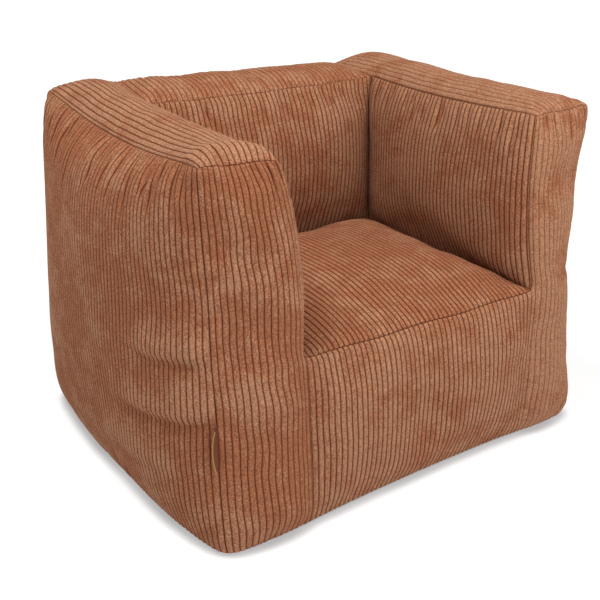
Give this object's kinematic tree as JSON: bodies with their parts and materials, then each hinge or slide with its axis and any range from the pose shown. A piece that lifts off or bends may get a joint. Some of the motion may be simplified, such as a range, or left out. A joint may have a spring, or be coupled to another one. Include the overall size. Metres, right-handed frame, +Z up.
{
  "type": "bean bag chair",
  "caption": "Child's bean bag armchair: a boxy corduroy cover with arms, back and crowned seat, stuffed with inner bags of beads and closed by a zip low at the back.",
  "frame": {"origin": "on the floor, under the middle of the base panel", "axes": "+Z up, -Y out of the front, +X to the right as seen from the front"},
  "size_m": [0.523, 0.4115, 0.3762],
  "materials": {
    "corduroy": "matte",
    "base_cloth": "matte",
    "lining": "matte",
    "inner_bag": "matte",
    "beads": "matte",
    "zip_tape": "matte",
    "zip_teeth": "satin",
    "zip_metal": "satin",
    "label": "matte"
  },
  "bodies": {
    "cover": {"back_beads": "beads", "back_divider": "lining", "back_inner_bag": "inner_bag", "back_lower_band": "corduroy", "back_outer_panel": "corduroy", "back_top_panel": "corduroy", "backrest_panel": "corduroy", "base_panel": "base_cloth", "left_arm_beads": "beads", "left_arm_front_panel": "corduroy", "left_arm_inner_bag": "inner_bag", "left_arm_inner_panel": "corduroy", "left_arm_top_panel": "corduroy", "left_divider": "lining", "left_side_panel": "corduroy", "right_arm_beads": "beads", "right_arm_front_panel": "corduroy", "right_arm_inner_bag": "inner_bag", "right_arm_inner_panel": "corduroy", "right_arm_top_panel": "corduroy", "right_divider": "lining", "right_side_panel": "corduroy", "seat_beads": "beads", "seat_front_panel": "corduroy", "seat_inner_bag": "inner_bag", "seat_panel": "corduroy", "zip_end_stops": "zip_teeth", "zip_lower_tape": "zip_tape", "zip_lower_teeth": "zip_teeth", "zip_upper_tape": "zip_tape", "zip_upper_teeth": "zip_teeth"},
    "zip_slider": {"zip_slider": "zip_metal"},
    "zip_pull": {"zip_pull": "zip_metal"},
    "side_label": {"side_label": "label"}
  },
  "joints": [
    {"name": "zip_slide", "type": "slide", "parent": "cover", "child": "zip_slider", "axis": [-1, 0, 0], "range_m": [0, 0.385], "deforming": ["zip_upper_teeth", "zip_lower_teeth"]},
    {"name": "zip_pull_flip", "type": "hinge", "parent": "zip_slider", "child": "zip_pull", "pos_m": [0.19261, 0.19375, 0.038], "axis": [0, 0, -1], "range_deg": [0, 170]},
    {"name": "label_flap", "type": "hinge", "parent": "cover", "child": "side_label", "pos_m": [-0.23613, -0.18829, 0.109], "axis": [-0.0457, 0.0432, 0.998], "range_deg": [-60, 60], "stiffness_Nm_per_rad": 0.0002}
  ]
}
